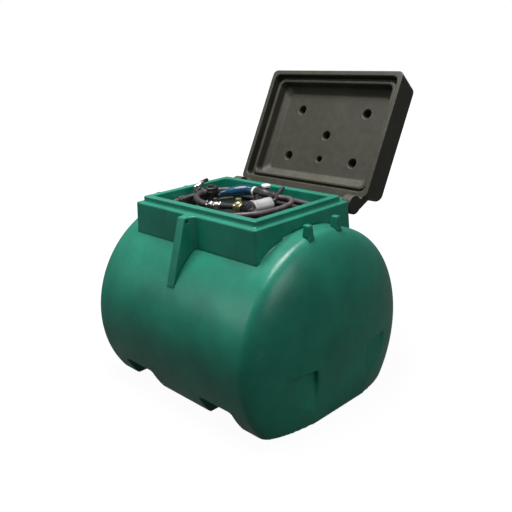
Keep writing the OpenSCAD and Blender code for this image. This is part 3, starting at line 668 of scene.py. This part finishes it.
def make_filter():
    place = Matrix.Translation(in_bay(-300, 56, 0.3))
    bm = bmesh.new()
    lathe(bm, [(0, 0), (0, 30), (2, 34), (8, 37.5), (60, 39), (63, 39), (64, 0)], place, 56)
    for k in range(18):
        turn = place @ Matrix.Rotation(2 * math.pi * k / 18, 4, "Z")
        block(bm, (4, 3, 44), turn @ Matrix.Translation((0.0385, 0, 0.034)), 0.9)
    lathe(bm, [(63, 0), (63, 42), (65, 43), (84, 43), (86, 41.5), (90, 41.5), (92, 43), (104, 43), (107, 40), (107, 0)],
          place, 56)
    prism(bm, 6, 29, 11, place @ Matrix.Translation((0, 0, 0.1065)), 1.2)
    for spot in on_ring(place @ Matrix.Translation((0, 0, 0.1065)), 34, 4, 0.5):
        prism(bm, 6, 9, 4, spot, 0.6)
    lathe(bm, [(0, 0), (0, 22), (24, 22), (24, 0)], turned_to(in_bay(-300, 13.3, 86), Vector((0, 1, 0))), 40)
    fitting("filter_head_and_bowl", bm, nylon, "filter")


def make_level_gauge():
    foot = in_bay(-332, -30, 0.3)
    p = in_bay(-332, -30, 112)
    q = p + Vector((-0.008, 0.064, 0.024))
    axis = (q - p).normalized()
    bm = bmesh.new()
    place = Matrix.Translation(foot)
    lathe(bm, [(0, 0), (0, 20), (6, 20), (6, 9), (95, 9), (96, 15), (126, 15), (128, 12), (128, 0)], place, 36)
    for spot in on_ring(place @ Matrix.Translation((0, 0, 0.006)), 15, 4):
        prism(bm, 6, 6, 3, spot, 0.4)
    lathe(bm, [(0, 0), (0, 13), (20, 13), (22, 14), (66, 14), (70, 12), (70, 0)], turned_to(p, axis), 36)
    prism(bm, 6, 28, 12, turned_to(p + 0.012 * axis, axis), 1.0)
    fitting("gauge_stem_and_tube", bm, zinc, "level_gauge")
    bm = bmesh.new()
    round_rod(bm, q + 0.0052 * axis, q + Vector((-0.008, 0.040, 0.004)), 11, 28)
    fitting("gauge_end_knob", bm, nylon)


def make_filler():
    place = Matrix.Translation(in_bay(-10, 217, 0.3))
    bm = bmesh.new()
    profile = [(0, 0), (0, 26), (5, 26), (5, 18), (84, 18)]
    for k in range(5):
        profile += [(85 + 5 * k, 18), (87 + 5 * k, 19.4), (88 + 5 * k, 19.4), (90 + 5 * k, 18)]
    lathe(bm, profile + [(112, 18), (112, 0)], place, 48)
    fitting("filler_neck_moulding", bm, nylon, "filler_neck")
    bm = bmesh.new()
    place = Matrix.Translation(in_bay(-10, 217, 112.6))
    lathe(bm, [(0, 0), (0, 26.5), (1, 27.5), (10.5, 27.5), (12.5, 25.5), (13, 22), (15.5, 20.5), (16, 0)], place, 64)
    for k in range(30):
        turn = place @ Matrix.Rotation(2 * math.pi * k / 30, 4, "Z")
        block(bm, (1.6, 2.4, 8), turn @ Matrix.Translation((0.0276, 0, 0.0056)), 0.5, 1)
    fitting("filler_cap_moulding", bm, white, "filler_cap")


def make_nozzle():
    place = turned_to(NOZZLE_FROM + 0.0003 * BODY_DIR, BODY_DIR)
    reach = (RING_AT - NOZZLE_FROM).length / MM - 14.6
    bm = bmesh.new()
    lathe(bm, [(0, 0), (0, 18), (3, 20), (16, 20), (18, 18), (22, 18), (24, 21), (38, 23), (44, 22),
               (80, 23), (92, 26), (104, 28), (128, 28), (140, 26), (150, 24.5), (reach - 6, 24.5), (reach, 25),
               (reach, 0)], place, 48)
    prism(bm, 6, 36, 14, place @ Matrix.Translation((0, 0, 0.002)), 1.5)
    top = NOZZLE_FROM + 0.140 * BODY_DIR
    lathe(bm, [(0, 0), (0, 15), (30, 15), (33, 12), (33, 0)], turned_to(top, Vector((-0.15, 0.35, 1))), 36)
    prism(bm, 6, 15, 7, turned_to(top + 0.032 * Vector((-0.15, 0.35, 1)).normalized(), Vector((-0.15, 0.35, 1))), 1)
    body = fitting("nozzle_body_casting", bm, nylon, "nozzle_body")
    guard = swept("nozzle_guard", [in_bay(122, 220, 125), in_bay(127, 192, 110), in_bay(138, 158, 95), in_bay(156, 124, 84),
                                   in_bay(158, 108, 80), in_bay(146, 110, 82), in_bay(118, 126, 88), in_bay(86, 146, 92)],
                  [11, 12.5, 13, 12.5, 11, 9, 8, 8], 5)
    fitted(guard, nylon)
    bm = bmesh.new()
    round_rod(bm, in_bay(90, 138, 94), in_bay(132, 116, 84), 4.2)
    fitting("nozzle_trigger", bm, zinc)
    bm = bmesh.new()
    lathe(bm, [(0, 0), (0, 25), (1.5, 26.5), (12.5, 26.5), (14, 25), (14, 0)],
          turned_to(RING_AT - 0.014 * BODY_DIR, BODY_DIR), 48)
    ring = fitting("nozzle_ring_moulding", bm, white, "nozzle_ring")
    sleeve = swept("spout_sleeve_moulding", [RING_AT + 0.0003 * BODY_DIR, RING_AT + 0.018 * BODY_DIR,
                                             RING_AT + 0.040 * BODY_DIR + 0.012 * SPOUT_DIR, in_bay(-120, 107, 98),
                                             in_bay(-158, 72, 94), NOZZLE_TIP],
                   [26, 29.5, 31, 31, 28.5, 23, 15, 10], 9)
    fitted(sleeve, blue, "spout_sleeve")
    return [body, guard, ring, sleeve]


make_motor()
make_pump_head()
make_delivery_elbow()
make_hose_coupling()
make_suction_elbow()
make_ball_valve()
make_suction_pipe()
make_filter()
make_level_gauge()
make_filler()
nozzle_pieces = make_nozzle()
for name, material in {"left_hinge_pin": zinc, "right_hinge_pin": zinc, "pump_bracket": iron}.items():
    paint(nodes[name], material)


# Floor, background and light

def seen_as_white(tree, shaded, share, strength):
    """Near white where the camera, metal or glass sees it; the rest of the share takes light and shadow."""
    path = add(tree, "LightPath")
    mirrored = add(tree, "Math", {0: path.outputs["Is Glossy Ray"]}, operation="MULTIPLY")
    mirrored.inputs[1].default_value = 0.13
    either = add(tree, "Math", {0: path.outputs["Is Camera Ray"], 1: mirrored.outputs[0]}, operation="MAXIMUM")
    either = add(tree, "Math", {0: either.outputs[0], 1: path.outputs["Is Transmission Ray"]}, operation="MAXIMUM")
    part = add(tree, "Math", {0: either.outputs[0]}, operation="MULTIPLY")
    if share is None:
        away = add(tree, "VectorMath", {0: object_point(tree)}, operation="LENGTH")
        far = add(tree, "MapRange", {"Value": away.outputs["Value"]}, From_Min=0.9, From_Max=2.2, To_Min=0.86,
                  To_Max=1.0)
        tree.links.new(far.outputs[0], part.inputs[1])
    else:
        part.inputs[1].default_value = share
    glow = add(tree, "Emission", Color=(1, 1, 1, 1), Strength=strength)
    return add(tree, "MixShader", {"Fac": part.outputs[0], 1: shaded, 2: glow.outputs[0]})


def studio():
    bm = bmesh.new()
    bmesh.ops.create_grid(bm, x_segments=1, y_segments=1, size=14)
    floor = mesh_from("studio_floor", bm)
    floor.location.z = -0.0005
    material, tree, shader = new_material("studio_floor_pale")
    path = add(tree, "LightPath")
    tree.links.new(mixed(tree, path.outputs["Is Camera Ray"], "#3a3a3a", "#8c8c8c"), shader.inputs["Base Color"])
    shader.inputs["Roughness"].default_value = 0.9
    mix = seen_as_white(tree, shader.outputs[0], None, 1.12)
    output = [n for n in tree.nodes if n.type == "OUTPUT_MATERIAL"][0]
    tree.links.new(mix.outputs[0], output.inputs["Surface"])
    paint(floor, material)
    world = bpy.data.worlds.new("studio_world")
    bpy.context.scene.world = world
    world.use_nodes = True
    tree = world.node_tree
    tree.nodes.clear()
    sky = add(tree, "Background", Color=(1, 1, 1, 1), Strength=0.10)
    mix = seen_as_white(tree, sky.outputs[0], 1.0, 1.0)
    add(tree, "OutputWorld", {"Surface": mix.outputs[0]})
    for name, place, size, power in (("overhead_softbox", (-0.2, -0.4, 4.6), 2.2, 240.0),
                                     ("front_softbox", (-2.2, -3.8, 2.6), 2.0, 30.0),
                                     ("end_softbox", (4.2, -0.2, 2.6), 2.0, 42.0)):
        data = bpy.data.lights.new(name, "AREA")
        data.size = size
        data.energy = power
        lamp = bpy.data.objects.new(name, data)
        lamp.location = place
        lamp.rotation_euler = (Vector((0, 0, 0.6)) - Vector(place)).to_track_quat("-Z", "Y").to_euler()
        bpy.context.scene.collection.objects.link(lamp)


studio()
bpy.context.scene.view_settings.view_transform = "Standard"
